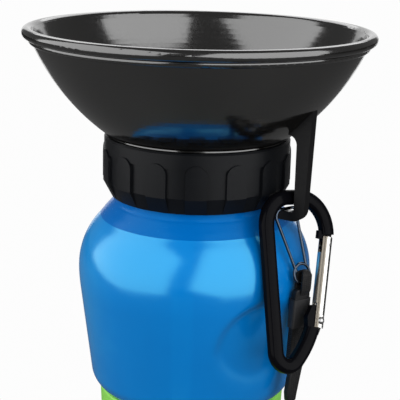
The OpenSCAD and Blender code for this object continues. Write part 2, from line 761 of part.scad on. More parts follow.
module strap_loop() {
    tail_top_z = fold_end_z + 1;
    tail_w = 0.76 * strap_w;
    tip_w = 0.62 * tail_w;
    tip_x = -1.5;
    color([0.09, 0.09, 0.1])
        in_strap_frame() {
            intersection() {
                translate([neck_x - neck_w / 2, 0, 0]) rotate([0, 90, 0])
                    linear_extrude(neck_w) strap_loop_side();
                rotate([90, 0, 0]) linear_extrude(2 * loop_r + 1, center = true) {
                    translate([neck_x, loop_slack + loop_r - neck_w / 2]) circle(r = neck_w / 2);
                    translate([neck_x - neck_w / 2, -10])
                        square([neck_w, 10 + loop_slack + loop_r - neck_w / 2]);
                }
            }
            rotate([90, 0, 0]) linear_extrude(strap_t, center = true) {
                translate([strap_x, 0])
                    polygon([[-strap_w / 2, shoulder_z], [-strap_w / 2, fold_end_z],
                        [strap_w / 2 - 1, fold_end_z],
                        [strap_w / 2, fold_end_z + 1.2], [strap_w / 2, shoulder_z]]);
                translate([strap_x, shoulder_z]) intersection() {
                    circle(r = strap_w / 2);
                    translate([-strap_w, -1]) square([2 * strap_w, 3.6]);
                }
                polygon([[-tail_w / 2 - 0.2, tail_top_z], [tip_x - tail_w / 2 + 0.2, -strap_len + 4],
                    [tip_x - tip_w / 2, -strap_len], [tip_x + tip_w / 2, -strap_len],
                    [tip_x + tail_w / 2 - 0.4, -strap_len + 3.4], [tail_w / 2 - 0.2, tail_top_z]]);
            }
        }
}

// Side view of the fold round the wire: x down the strap, y through it
module strap_loop_side() {
    difference() {
        union() {
            translate([-loop_slack, 0]) circle(r = loop_r);
            translate([-loop_slack, -loop_r]) square([loop_r + loop_slack - 0.6, 2 * loop_r]);
            translate([0, -strap_t / 2]) square([loop_r + 3.2, strap_t]);
        }
        translate([-loop_slack, 0]) circle(r = loop_hole_r);
        translate([-loop_slack, -loop_hole_r]) square([loop_slack, 2 * loop_hole_r]);
        circle(r = loop_hole_r);
    }
}

module strap_keeper() {
    wall = 0.45;
    color([0.12, 0.12, 0.13])
        in_strap_frame() translate([strap_x, 0, keeper_z])
            difference() {
                translate([-strap_w / 2 - wall, -strap_t / 2 - wall, 0])
                    cube([strap_w + 2 * wall, strap_t + 2 * wall, keeper_h]);
                translate([-strap_w / 2 - fit, -strap_t / 2 - fit, -cut])
                    cube([strap_w + 2 * fit, strap_t + 2 * fit, keeper_h + 2 * cut]);
            }
}

squeeze_bottle();
grip_sleeve();
drinking_bowl();
neck_gasket();
screw_collar();
valve_knob();
stem_o_ring();
valve_shutter();
stem_screw();
manifold();
manifold_seal();
manifold_screws();
dip_tube();
intake_strainer();
carabiner_frame();
gate_rivet();
carabiner_gate();
gate_latch_pin();
gate_spring();
gate_plunger();
wire_bail();
strap_loop();
strap_keeper();
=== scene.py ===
import json
import math

import bmesh
import bpy
from mathutils import Matrix, Vector

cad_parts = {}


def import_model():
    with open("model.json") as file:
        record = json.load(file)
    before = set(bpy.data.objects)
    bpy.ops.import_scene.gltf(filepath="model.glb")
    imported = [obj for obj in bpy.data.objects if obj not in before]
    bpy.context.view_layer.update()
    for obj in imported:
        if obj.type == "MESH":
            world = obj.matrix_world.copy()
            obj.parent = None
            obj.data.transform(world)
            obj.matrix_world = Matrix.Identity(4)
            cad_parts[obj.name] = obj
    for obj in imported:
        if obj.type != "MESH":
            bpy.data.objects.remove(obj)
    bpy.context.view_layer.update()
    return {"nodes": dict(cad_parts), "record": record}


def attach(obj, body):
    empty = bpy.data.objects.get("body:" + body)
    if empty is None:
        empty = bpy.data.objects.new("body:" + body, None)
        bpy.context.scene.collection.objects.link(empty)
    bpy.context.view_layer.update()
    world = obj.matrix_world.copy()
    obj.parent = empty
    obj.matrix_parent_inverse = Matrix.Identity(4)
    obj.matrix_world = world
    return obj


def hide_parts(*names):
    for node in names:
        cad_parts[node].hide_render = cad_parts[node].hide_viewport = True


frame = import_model()
NODES = frame["nodes"]
scene = bpy.context.scene
scene.view_settings.view_transform = "Standard"

MM = 0.001

# ---------------------------------------------------------------- camera
CAM_DIST, CAM_HEIGHT, CAM_PITCH, CAM_ROLL = 0.42875, 0.242, 0.262, 0.024
CAM_SENSOR, CAM_LENS, CAM_SHIFT_X = 36.0, 101.6, 0.0103
CAM_NEAR, CAM_FAR = 0.02, 20.0


def make_camera():
    data = bpy.data.cameras.new("camera")
    data.sensor_width = CAM_SENSOR
    data.lens = CAM_LENS
    data.shift_x = CAM_SHIFT_X
    data.clip_start = CAM_NEAR
    data.clip_end = CAM_FAR
    cam = bpy.data.objects.new("camera", data)
    scene.collection.objects.link(cam)
    place = Matrix.Translation((0.0, -CAM_DIST, CAM_HEIGHT))
    tilt = Matrix.Rotation(math.pi / 2 - CAM_PITCH, 4, "X")
    cam.matrix_world = place @ tilt @ Matrix.Rotation(CAM_ROLL, 4, "Z")
    scene.camera = cam


make_camera()


# ---------------------------------------------------------------- material helpers
class Mat:
    """A small wrapper that builds a node material."""

    def __init__(self, name):
        self.mat = bpy.data.materials.new(name)
        self.mat.use_nodes = True
        self.nt = self.mat.node_tree
        self.nt.nodes.clear()
        out = self.node("ShaderNodeOutputMaterial")
        self.bsdf = self.node("ShaderNodeBsdfPrincipled")
        self.link(self.bsdf.outputs[0], out.inputs["Surface"])
        self.coord = self.node("ShaderNodeTexCoord").outputs["Object"]

    def node(self, kind, **values):
        n = self.nt.nodes.new(kind)
        for k, v in values.items():
            setattr(n, k, v)
        return n

    def link(self, a, b):
        self.nt.links.new(a, b)

    def put(self, socket, value):
        if isinstance(value, bpy.types.NodeSocket):
            self.link(value, socket)
        else:
            socket.default_value = value

    def set(self, **values):
        """Links or values for the shader's own sockets: Base_Color is its Base Color."""
        for k, v in values.items():
            self.put(self.bsdf.inputs[k.replace("_", " ")], v)

    def mapping(self, scale=(1, 1, 1), rotation=(0, 0, 0)):
        n = self.node("ShaderNodeMapping")
        self.link(self.coord, n.inputs["Vector"])
        n.inputs["Scale"].default_value = scale
        n.inputs["Rotation"].default_value = rotation
        return n.outputs[0]

    def noise(self, scale, detail, rough=0.55, vector=None):
        n = self.node("ShaderNodeTexNoise")
        self.link(vector if vector is not None else self.coord, n.inputs["Vector"])
        n.inputs["Scale"].default_value = scale
        n.inputs["Detail"].default_value = detail
        n.inputs["Roughness"].default_value = rough
        return n.outputs["Fac"]

    def ramp(self, fac, stops):
        n = self.node("ShaderNodeValToRGB")
        self.link(fac, n.inputs[0])
        elements = n.color_ramp.elements
        while len(elements) < len(stops):
            elements.new(0.5)
        for element, (position, colour) in zip(elements, stops):
            element.position = position
            element.color = (*colour, 1.0)
        return n.outputs[0]

    def two_tone(self, noise, tones):
        self.set(Base_Color=self.ramp(noise, list(zip((0.3, 0.7), tones))))

    def map(self, value, a0, a1, b0, b1):
        """From a0..a1 to b0..b1, held at the ends."""
        n = self.node("ShaderNodeMapRange")
        self.link(value, n.inputs["Value"])
        n.inputs["From Min"].default_value = a0
        n.inputs["From Max"].default_value = a1
        n.inputs["To Min"].default_value = b0
        n.inputs["To Max"].default_value = b1
        return n.outputs[0]

    def spread(self, noise, low, high):
        """A noise, which seldom leaves 0.3..0.7, over low..high."""
        return self.map(noise, 0.3, 0.7, low, high)

    def math(self, op, a, b=0.0):
        n = self.node("ShaderNodeMath", operation=op)
        self.put(n.inputs[0], a)
        self.put(n.inputs[1], b)
        return n.outputs[0]

    def bump(self, height, strength, distance):
        n = self.node("ShaderNodeBump")
        n.inputs["Strength"].default_value = strength
        n.inputs["Distance"].default_value = distance
        self.link(height, n.inputs["Height"])
        self.link(n.outputs[0], self.bsdf.inputs["Normal"])


CLOUDS = 35.0


def plastic(name, tones, rough, grain, relief, spec=0.5, ior=1.5, tint=None):
    """Faint clouds between two tones, if given, under a fine grain in roughness and relief."""
    m = Mat(name)
    fine = m.noise(grain, 3.0, 0.6)
    if tones:
        m.two_tone(m.noise(CLOUDS, 3.0), tones)
    m.set(Roughness=m.spread(fine, *rough))
    m.bsdf.inputs["Specular IOR Level"].default_value = spec
    m.bsdf.inputs["IOR"].default_value = ior
    if tint:
        m.bsdf.inputs["Specular Tint"].default_value = tint
    m.bump(fine, relief, 0.0002)
    return m


def metal(name, tones, rough, relief, scale=2500.0, stretch=(1, 1, 1), rotation=(0, 0, 0)):
    """Fine lines in roughness, and in tone and relief where these are given; paint_gate_reflections uses m.lines too."""
    m = Mat(name)
    m.lines = m.noise(scale, 3.0, 0.6, vector=m.mapping(stretch, rotation))
    if tones:
        m.two_tone(m.lines, tones)
    m.bsdf.inputs["Metallic"].default_value = 1.0
    m.set(Roughness=m.spread(m.lines, *rough))
    if relief:
        m.bump(m.lines, relief, 0.0001)
    return m


def webbing(name, dark, light, turn):
    """Woven tape, turned about Z: fine ribs across and a coarser weave along."""
    m = Mat(name)
    v = m.mapping(rotation=(0, 0, turn))
    ribs = m.node("ShaderNodeTexWave", wave_type="BANDS", bands_direction="Z")
    m.link(v, ribs.inputs["Vector"])
    ribs.inputs["Scale"].default_value = 420.0
    ribs.inputs["Distortion"].default_value = 0.6
    ribs.inputs["Detail"].default_value = 1.0
    cords = m.node("ShaderNodeTexWave", wave_type="BANDS", bands_direction="X")
    m.link(v, cords.inputs["Vector"])
    cords.inputs["Scale"].default_value = 300.0
    weave = m.math("MULTIPLY", ribs.outputs["Fac"], cords.outputs["Fac"])
    m.set(Base_Color=m.ramp(weave, [(0.1, dark), (0.8, light)]))
    m.set(Roughness=m.spread(m.noise(900, 2.0), 0.5, 0.7))
    m.bsdf.inputs["Specular IOR Level"].default_value = 0.3
    m.bump(weave, 0.5, 0.0002)
    return m


def paint_light_through(m):
    """Painted light in the base colour: a paler stripe in front of the dip tube stands for light through the
    wall, and the lit side is painted paler.
    """
    tube_x, painted_tube_edge, painted_lit_side = -0.004, (0.0028, 0.0048), (-0.044, -0.016)
    place = m.node("ShaderNodeSeparateXYZ")
    m.link(m.coord, place.inputs[0])
    off = m.math("ABSOLUTE", m.math("ADD", place.outputs["X"], -tube_x))
    # painted light: paler over the dip tube and paler on the lit side
    painted_pale = m.map(off, *painted_tube_edge, 0.22, 0.0)
    lit = m.map(place.outputs["X"], *painted_lit_side, 0.6, 0.0)
    tone = m.math("ADD", m.spread(m.noise(CLOUDS, 3.0), 0.0, 0.3), m.math("ADD", painted_pale, lit))
    stops = [(0.0, (0.0, 0.155, 0.505)), (0.4, (0.0, 0.172, 0.54)), (1.0, (0.012, 0.25, 0.61))]
    m.set(Base_Color=m.ramp(tone, stops))


# ---------------------------------------------------------------- materials, by slot
HOOK_ANGLE, CLIP_TURN = 56.0, 38.0  # degrees about Z: the hook under the bowl, and the pieces hung in it
BLUE_SHINE = (0.2, 0.88, 1.0, 1.0)

MATS = {
    "black_bowl": plastic(
        "bowl_gloss", ((0.0028, 0.0026, 0.0023), (0.0042, 0.0038, 0.0034)), (0.1, 0.17), 700, 0.03,
        spec=0.75, ior=1.8,
    ),
    "black_hook": plastic(
        "hook_satin", ((0.004, 0.004, 0.0045), (0.006, 0.006, 0.0065)), (0.35, 0.45), 900, 0.06, spec=0.12
    ),
    "black_collar": plastic(
        "collar_black", ((0.003, 0.0035, 0.0045), (0.005, 0.0055, 0.0065)), (0.3, 0.42), 1400, 0.08, spec=0.12
    ),
    "black_knob": plastic("knob_black", ((0.012, 0.012, 0.012), (0.016, 0.016, 0.016)), (0.3, 0.4), 1400, 0.08),
    "pale_rubber": plastic("gasket_rubber", ((0.55, 0.55, 0.5), (0.65, 0.65, 0.6)), (0.5, 0.65), 900, 0.1),
    "red_rubber": plastic("seal_rubber", ((0.35, 0.04, 0.03), (0.45, 0.06, 0.04)), (0.5, 0.65), 900, 0.1),
    "white_plastic": plastic("white_plastic", ((0.68, 0.68, 0.65), (0.75, 0.75, 0.72)), (0.35, 0.5), 900, 0.06),
    "clear_tube": plastic("tube_plastic", ((0.75, 0.8, 0.83), (0.82, 0.86, 0.9)), (0.2, 0.3), 900, 0.04),
    "green_sleeve": plastic("sleeve_green", ((0.24, 0.64, 0.09), (0.26, 0.68, 0.1)), (0.4, 0.5), 1100, 0.08),
    "steel": metal("steel_bright", ((0.35, 0.35, 0.35), (0.5, 0.5, 0.5)), (0.2, 0.35), 0.05),
    # painted reflection: the wire's dark bluish tone stands for the blue bottle reflected in it
    "bright_wire": metal("wire_painted_blue_reflection", ((0.04, 0.055, 0.08), (0.08, 0.1, 0.13)), (0.1, 0.18), 0.01),
    "silver_metal": metal(
        "gate_satin", None, (0.28, 0.34), None,
        scale=1200.0, stretch=(1, 1, 0.05), rotation=(0, math.radians(5), math.radians(CLIP_TURN)),
    ),
    "black_metal": plastic(
        "carabiner_black", ((0.002, 0.002, 0.003), (0.003, 0.003, 0.004)), (0.1, 0.16), 2600, 0.02, spec=0.035
    ),
    "blue_plastic": plastic("bottle_blue", None, (0.17, 0.23), 500, 0.02, spec=0.8, ior=1.8, tint=BLUE_SHINE),
    # painted shade: the shoulder's darker blue stands for shade under the collar; its lower specular and higher
    # roughness are the duller finish
    "blue_shoulder_painted_shade": plastic(
        "bottle_shoulder_painted_shade", ((0.0, 0.098, 0.36), (0.0, 0.106, 0.38)), (0.2, 0.28), 500, 0.02,
        spec=0.16, tint=BLUE_SHINE,
    ),
    "black_elastic": plastic(
        "elastic_black", ((0.006, 0.006, 0.007), (0.010, 0.010, 0.011)), (0.5, 0.7), 3000, 0.3
    ),
    "thread": plastic("thread_grey", ((0.012, 0.012, 0.014), (0.03, 0.03, 0.032)), (0.4, 0.6), 3000, 0.2),
    "black_web": webbing("web_black", (0.002, 0.002, 0.0025), (0.006, 0.006, 0.007), math.radians(-CLIP_TURN)),
}
paint_light_through(MATS["blue_plastic"])

slots = {s["node"]: s["material_slot"] for s in frame["record"]["subparts"]}
for name, obj in NODES.items():
    obj.data.materials.clear()
    obj.data.materials.append(MATS[slots[name]].mat)


def satin_hook():
    """The hook under the bowl is satin where the bowl is gloss; limits in metres."""
    start, half, top, tongue = 0.022, 0.0019, 0.166, 0.0425
    a = math.radians(HOOK_ANGLE - 90)
    outward = Vector((math.cos(a), math.sin(a), 0))
    across = Vector((0, 0, 1)).cross(outward)
    bowl = NODES["drinking_bowl"]
    bowl.data.materials.append(MATS["black_hook"].mat)
    for face in bowl.data.polygons:
        spot = bowl.matrix_world @ face.center
        out = spot.dot(outward)
        near = out > start and abs(spot.dot(across)) < half and spot.z < top
        if near and (out > tongue or abs(face.normal.dot(across)) > 0.9):
            face.material_index = 1


satin_hook()


def mesh_object(name, verts, faces, body, slot, sharp=None):
    """Smooth piece from points in mm, riding on a body; edges over sharp degrees stay crisp."""
    mesh = bpy.data.meshes.new(name)
    mesh.from_pydata([Vector(v) * MM for v in verts], [], faces)
    mesh.validate()
    bm = bmesh.new()
    bm.from_mesh(mesh)
    bmesh.ops.recalc_face_normals(bm, faces=bm.faces)
    bm.to_mesh(mesh)
    bm.free()
    for poly in mesh.polygons:
        poly.use_smooth = True
    obj = bpy.data.objects.new(name, mesh)
    scene.collection.objects.link(obj)
    if sharp is not None:
        mesh.set_sharp_from_angle(angle=math.radians(sharp))
    mesh.materials.append(MATS[slot].mat)
    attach(obj, body)
    return obj


def polar(c, r, a):
    return (c[0] + r * math.cos(math.radians(a)), c[1] + r * math.sin(math.radians(a)))


def arc(c, r, a0, a1, n):
    return [polar(c, r, a0 + (a1 - a0) * i / n) for i in range(n + 1)]


def circle(c, r, n):
    return arc(c, r, 0, 360, n)[:-1]


def round_rect(w, t, r, n):
    cx, cy = w / 2 - r, t / 2 - r
    out = []
    for sx, sy, a in ((1, 1, 0), (-1, 1, 90), (-1, -1, 180), (1, -1, 270)):
        out += arc((sx * cx, sy * cy), r, a, a + 90, n)
    return out


def bend(p0, p1, p2, n):
    """Curve from p0 to p2 that is drawn toward p1."""
    out = []
    for i in range(n + 1):
        t = i / n
        out.append(tuple((1 - t) ** 2 * a + 2 * t * (1 - t) * b + t * t * c for a, b, c in zip(p0, p1, p2)))
    return out


def dense(points, step):
    """The same line, in parts no longer than step."""
    out = []
    for p, q in zip(points, points[1:]):
        k = max(1, int(math.ceil(math.dist(p, q) / step)))
        out += [tuple(a + (b - a) * i / k for a, b in zip(p, q)) for i in range(k)]
    return out + [points[-1]]


def flat(points):
    return [(x, 0.0, z) for x, z in points]


def inset(outline, d):
    """Outline of (x, z) points, turning left, drawn in by d."""
    out = []
    n = len(outline)
    for i in range(n):
        p, q, r = (Vector(outline[(i + k) % n]) for k in (-1, 0, 1))
        a, b = (q - p).normalized(), (r - q).normalized()
        na, nb = Vector((-a.y, a.x)), Vector((-b.y, b.x))
        m = (na + nb).normalized()
        out.append(tuple(q + m * (d / max(0.35, m.dot(na)))))
    return out


def skin(rings, m, closed=False):
    """Quads between rings of m points; a run that isn't closed gets a cap at each end."""
    faces = []
    for i in range(rings if closed else rings - 1):
        j = (i + 1) % rings
        for k in range(m):
            q = (k + 1) % m
            faces.append((i * m + k, i * m + q, j * m + q, j * m + k))
    if not closed:
        faces.append(tuple(range(m - 1, -1, -1)))
        faces.append(tuple((rings - 1) * m + k for k in range(m)))
    return faces


def lathe(profile, segments, shift):
    """Closed ring of (r, z) points turned about Z; shift(r, z, angle) may move a point."""
    verts = []
    for k in range(segments):
        a = 2 * math.pi * k / segments
        for point in profile:
            r, z = shift(*point, a)
            verts.append((r * math.sin(a), -r * math.cos(a), z))
    return verts, skin(segments, len(profile), closed=True)


def sweep(path, section, closed=False):
    """Section (u, v) swept along 3-D points; v stays along Y."""
    verts = []
    n = len(path)
    up = Vector((0, 1, 0))
    for i, p in enumerate(path):
        a = Vector(path[(i - 1) % n] if (closed or i > 0) else path[i])
        b = Vector(path[(i + 1) % n] if (closed or i < n - 1) else path[i])
        t = (b - a).normalized()
        v = (up - t * up.dot(t)).normalized()
        u = v.cross(t)
        for su, sv in section:
            verts.append(tuple(Vector(p) + u * su + v * sv))
    return verts, skin(n, len(section), closed)


def ribbon(path, widths, t):
    """Band t thick running along (y, z) points, widths wide along x."""
    verts = []
    n = len(path)
    for i, (p, w) in enumerate(zip(path, widths)):
        a, b = Vector(path[max(0, i - 1)]), Vector(path[min(n - 1, i + 1)])
        d = (b - a).normalized()
        normal = Vector((-d.y, d.x))
        for u, v in round_rect(w, t, t * 0.35, 3):
            verts.append((u, p[0] + normal.x * v, p[1] + normal.y * v))
    return verts, skin(n, len(verts) // n)


def plate(outline, t):
    """Flat plate in the x-z plane, t thick."""
    verts = [(x, y, z) for y in (-t / 2, t / 2) for x, z in outline]
    return verts, skin(2, len(outline))


def soft_plate(outline, t, r, steps=4):
    """Flat plate in the x-z plane with its long edges rounded by r."""
    rings = []
    for i in range(steps + 1):
        a = math.pi / 2 * i / steps
        rings.append((inset(outline, r * (1 - math.cos(a))), t / 2 - r + r * math.sin(a)))
    levels = [(points, -y) for points, y in rings[::-1]] + rings
    verts = [(x, y, z) for points, y in levels for x, z in points]
    return verts, skin(len(levels), len(outline))


def join(*parts):
    verts, faces = [], []
    for v, f in parts:
        base = len(verts)
        verts += v
        faces += [tuple(base + i for i in face) for face in f]
    return verts, faces


def moved(part, matrix):
    v, f = part
    return [tuple(matrix @ Vector(p)) for p in v], f


# ---------------------------------------------------------------- squeeze bottle
BULB_R, BULB_Z, NECK_R, MOUTH_Z = 45.8, 101.0, 32.2, 147.0
SLEEVE_H, SLEEVE_TOP_R, SLEEVE_FOOT_R, SLEEVE_WALL = 51.5, 37.2, 35.0, 2.0
SEAT, WALL, NECK_WALL, FOOT_EDGE_R = 0.1, 1.4, 1.6, 4
PUNT_H, PUNT_TOP_R, PUNT_FOOT_R = 5, 20, 25  # the hollow in the foot
SIDE_R, SIDE_SLOPE, WAIST_R, WAIST_RISE, WAIST_FREE, SHOULDER_R = 60, 7.4, 8, 6.6, 0.4, 28.8
# radius and height above the bulb's middle, from the shoulder to the crease under the neck
CONE = ((37.3, 20.6), (35.9, 22.5), (34.4, 24.2), (33.2, 25.6))
CREASE_R, CREASE_FROM, CREASE_MID, CREASE_TO = 33.0, 25.8, 26.4, 27.2
DULL_AND_SHADED_FROM = 20.9  # the surface is duller above this height, and painted darker there as shade under the collar
TURNS, OUTER_STEP, INNER_STEP = 256, 1.2, 2.5


def bottle_skin(e):
    """Profile of the bottle, e inside its outer surface."""
    foot_z = SLEEVE_WALL + SEAT
    foot_r = SLEEVE_FOOT_R - SLEEVE_WALL - SEAT
    top_r = SLEEVE_TOP_R - SLEEVE_WALL - SEAT
    side_c = (BULB_R - SIDE_R, BULB_Z)
    slope = math.radians(SIDE_SLOPE)
    side_end = (side_c[0] + SIDE_R * math.cos(slope), side_c[1] - SIDE_R * math.sin(slope))
    waist_z = SLEEVE_H + WAIST_RISE
    waist_x = side_end[0] - (side_end[1] - waist_z) * math.tan(slope)
    waist_c = (waist_x - WAIST_R * math.cos(slope), waist_z + WAIST_R * math.sin(slope))
    turn = math.degrees(math.acos((top_r + WAIST_FREE - waist_c[0]) / WAIST_R))
    neck_r = NECK_R - e * NECK_WALL / WALL
    pts = [(PUNT_TOP_R, foot_z + PUNT_H + e), (PUNT_FOOT_R, foot_z + e)]
    pts += arc((foot_r - FOOT_EDGE_R, foot_z + FOOT_EDGE_R), FOOT_EDGE_R - e, -90, 0, 6)
    pts += [(top_r - e, SLEEVE_H - SLEEVE_WALL / 2)]
    pts += arc(waist_c, WAIST_R - e, -turn, -SIDE_SLOPE, 14)
    pts += arc(side_c, SIDE_R - e, -SIDE_SLOPE, 0, 8)
    pts += arc((BULB_R - SHOULDER_R, BULB_Z), SHOULDER_R - e, 4, 41, 22)
    pts += [(r - e, BULB_Z + z) for r, z in CONE]
    crease = (CREASE_R - e, BULB_Z + CREASE_FROM), (neck_r, BULB_Z + CREASE_MID), (neck_r, BULB_Z + CREASE_TO)
    pts += bend(*crease, 5)
    pts += [(neck_r, MOUTH_Z)]
    return pts


DIMPLE_AZ, DIMPLE_Z, DIMPLE_R, DIMPLE_DEPTH = math.radians(36.0), 79.5, 18.0, 1.8
DIMPLE_REACH, DIMPLE_EDGE, DIMPLE_FADE = 1.12, 0.24, 0.6  # shares of its radius
DIMPLE_LOW, DIMPLE_MIN_R, DIMPLE_WALL_R = 58, 38, 43.4


def dimple(r, z, a):
    """Hollow for the fingers, crisp above and fading out below."""
    if r < DIMPLE_MIN_R or not DIMPLE_LOW < z < BULB_Z:
        return r, z
    d = (a - DIMPLE_AZ + math.pi) % (2 * math.pi) - math.pi
    q = math.hypot(d * DIMPLE_WALL_R, z - DIMPLE_Z) / DIMPLE_R
    if q >= DIMPLE_REACH:
        return r, z
    soft = DIMPLE_EDGE + DIMPLE_FADE * max(0.0, (DIMPLE_Z - z) / DIMPLE_R)
    edge = min(1.0, max(0.0, (DIMPLE_REACH - q) / soft))
    edge = edge * edge * (3 - 2 * edge)
    return r - DIMPLE_DEPTH * edge * (0.75 + 0.25 * min(1.0, q)), z


def make_bottle():
    outer = dense(bottle_skin(0), OUTER_STEP)
    inner = dense(bottle_skin(WALL), INNER_STEP)
    verts, faces = lathe(outer + inner[::-1], TURNS, dimple)
    n = len(outer) + len(inner)
    first_outer = [k * n for k in range(TURNS)]
    first_inner = [k * n + n - 1 for k in range(TURNS)]
    foot_hole = set(first_outer + first_inner)
    faces = [f for f in faces if not set(f) <= foot_hole]
    outer_mid, inner_mid = len(verts), len(verts) + 1
    verts.append((0, 0, SLEEVE_WALL + SEAT + PUNT_H))
    verts.append((0, 0, SLEEVE_WALL + SEAT + PUNT_H + WALL))
    for k in range(TURNS):
        m = (k + 1) % TURNS
        faces.append((outer_mid, first_outer[k], first_outer[m]))
        faces.append((inner_mid, first_inner[m], first_inner[k]))
    obj = mesh_object("bottle_blow_moulded", verts, faces, "bottle", "blue_plastic", sharp=50)
    obj.data.materials.append(MATS["blue_shoulder_painted_shade"].mat)
    # faces above this height take the painted shade under the collar
    for face in obj.data.polygons:
        if face.center.z > (BULB_Z + DULL_AND_SHADED_FROM) * MM:
            face.material_index = 1
    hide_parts("squeeze_bottle")


# ---------------------------------------------------------------- carabiner
BAR_W, BAR_T, BAR_EDGE_R, GAP, WIRE_R = 5.6, 4.8, 1.9, 0.3, 0.6
CLIP_LEAN, CLIP_ROLL = 18.0, 7.0
TONGUE_R, SEAT_W, HOOK_Z = 44.8, 7.5, 130.1
CLIP_R = TONGUE_R - SEAT_W / 2 - 0.15
CLIP_Z = HOOK_Z + GAP + 2 * WIRE_R + 2 * GAP + BAR_W / 2
CORNER_R, NOSE_R, NOSE_TURN, SPINE_LEN, CLIP_W, BEND_R, BEND_END = 11.0, 13.2, 6, 45.3, 29.2, 5.6, 310.0
ARM_R, ARM_END, PIVOT_OUT, HINGE_ROOM = 35.7, 339.2, 1.7, 3.8
SPINE_X = -CORNER_R
BEND_C = (SPINE_X + BEND_R, -CORNER_R - SPINE_LEN)
ARM_C = polar(BEND_C, BEND_R - ARM_R, BEND_END)
PIVOT = polar(ARM_C, ARM_R + PIVOT_OUT, ARM_END)
NOSE_C = (SPINE_X + CLIP_W - NOSE_R, -NOSE_R)
NOSE_END = polar(NOSE_C, NOSE_R, -NOSE_TURN)
GATE_LEAN = math.atan2(NOSE_END[0] - PIVOT[0], NOSE_END[1] - PIVOT[1])
GATE_R = 2.5
# outlines in the gate's own frame: the tongue round the rivet, and the hooked tooth under the nose
LUG = arc((0, 0), 2.1, -30, 55, 8) + [(-1.5, 5.3), (-3.9, 5.3), (-5.8, 0.5), (-4.6, -5.5), (0.3, -5.5)]
TOOTH = (
    (-4.5, 0.8), (2.0, 0.8), (2.0, -6.0), (-2.0, -6.0), (-2.0, -5.2),
    (1.0, -5.2), (1.0, -3.2), (-2.0, -3.2), (-2.0, -2.2), (-4.5, -2.2),
)
LUG_T, TOOTH_T = 2.2, 1.6


def clip_frame(lean, roll):
    """Frame of a piece hung in the hook, with its origin in the bar's middle over the seat."""
    a = math.radians(HOOK_ANGLE - 90)
    return (
        Matrix.Translation((CLIP_R * math.cos(a), CLIP_R * math.sin(a), CLIP_Z))
        @ Matrix.Rotation(math.radians(CLIP_TURN), 4, "Z")
        @ Matrix.Rotation(math.radians(-lean), 4, "X")
        @ Matrix.Rotation(math.radians(roll), 4, "Y")
    )


def in_gate(points):
    """Out of the gate's own frame, whose origin is the rivet and whose z runs along the tube."""
    ca, sa = math.cos(GATE_LEAN), math.sin(GATE_LEAN)
    return [(PIVOT[0] + x * ca + z * sa, PIVOT[1] - x * sa + z * ca) for x, z in points]


def paint_gate_reflections():
    """Painted reflections along the gate, by place on the gate itself: pale sides as painted highlights, a
    duller band as a painted dark reflection and a painted dark edge.
    """
    m = MATS["silver_metal"]
    clip = clip_frame(CLIP_LEAN, CLIP_ROLL)
    back = NODES["carabiner_gate"].matrix_world.inverted()
    rivet, above = (back @ ((clip @ Vector(p)) * MM) for p in flat(in_gate([(0, 0), (0, 1)])))
    axis = (above - rivet).normalized()
    side = back.to_3x3() @ Vector((1, 0, 0))
    side = (side - axis * side.dot(axis)).normalized()
    dot = m.node("ShaderNodeVectorMath", operation="DOT_PRODUCT")
    m.link(m.coord, dot.inputs[0])
    dot.inputs[1].default_value = side
    middle, half = side.dot(rivet), GATE_R * MM
    across = m.map(dot.outputs["Value"], middle - half, middle + half, 0.0, 1.0)
    across = m.math("ADD", across, m.spread(m.lines, -0.02, 0.02))
    # painted reflections: pale painted highlights at the sides, a dull painted band between, a dark painted
    # edge
    painted_pale, painted_dull_band, dark = (0.8, 0.8, 0.78), (0.2, 0.18, 0.15), (0.05, 0.05, 0.05)
    stops = [(0.0, painted_pale), (0.1, painted_pale), (0.2, painted_dull_band), (0.56, painted_dull_band), (0.64, painted_pale), (0.82, painted_pale), (0.9, dark)]
    m.set(Base_Color=m.ramp(across, stops))


def make_carabiner():
    arm_stop = ARM_END - math.degrees(math.asin(HINGE_ROOM / ARM_R))
    path = arc(ARM_C, ARM_R, arm_stop, BEND_END, 14)
    path += arc(BEND_C, BEND_R, BEND_END, 180, 36)[1:]
    path += [(SPINE_X, -CORNER_R)]
    path += arc((0, -CORNER_R), CORNER_R, 180, 90, 28)[1:]
    path += arc(NOSE_C, NOSE_R, 90, -NOSE_TURN, 32)
    bar = sweep(flat(dense(path, 3.0)), round_rect(BAR_W, BAR_T, BAR_EDGE_R, 8))
    lug = plate(in_gate(LUG), LUG_T)
    end = math.dist(NOSE_END, PIVOT)
    tooth = plate(in_gate([(x, end + z) for x, z in TOOTH]), TOOTH_T)
    v, f = moved(join(bar, lug, tooth), clip_frame(CLIP_LEAN, CLIP_ROLL))
    obj = mesh_object("carabiner_body", v, f, "carabiner", "black_metal", sharp=40)
    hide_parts("carabiner_frame")


# ---------------------------------------------------------------- wire bail
EYE_X, EYE_R, BAIL_LEN = 2.5, 3.8, 29.2
BAIL_LEAN = CLIP_LEAN - 3.6
BAIL_TOP = -BAR_W / 2 - 2 * GAP - WIRE_R


def bail_leg(shoulder, lean, end):
    """End of the leg that runs down from a shoulder, leaning toward +x, to end above the eye's middle."""
    drop = shoulder[1] + BAIL_LEN - end
    return (shoulder[0] + drop * math.tan(math.radians(lean)), shoulder[1] - drop)


def make_bail():
    left_r, left_lean, right_r, right_lean = 2.8, 17.0, 1.6, 4.5
    left_c, right_c = (-3.7, BAIL_TOP - left_r), (1.8, BAIL_TOP - right_r)
    left = polar(left_c, left_r, 180 + left_lean)
    right = polar(right_c, right_r, right_lean)
    path = [bail_leg(left, left_lean, 1.2), left]
    path += arc(left_c, left_r, 180 + left_lean, 90, 12)[1:]
    path += arc(right_c, right_r, 90, right_lean, 10)
    path += [bail_leg(right, right_lean, 3)]
    section = circle((0, 0), WIRE_R, 14)
    loop = sweep(flat(dense(path, 2.0)), section)
    eye = sweep(flat(circle((EYE_X, -BAIL_LEN), EYE_R, 64)), section, closed=True)
    v, f = moved(join(loop, eye), clip_frame(BAIL_LEAN, 0))
    obj = mesh_object("bail_wire", v, f, "bail", "bright_wire", sharp=60)
    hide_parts("wire_bail")


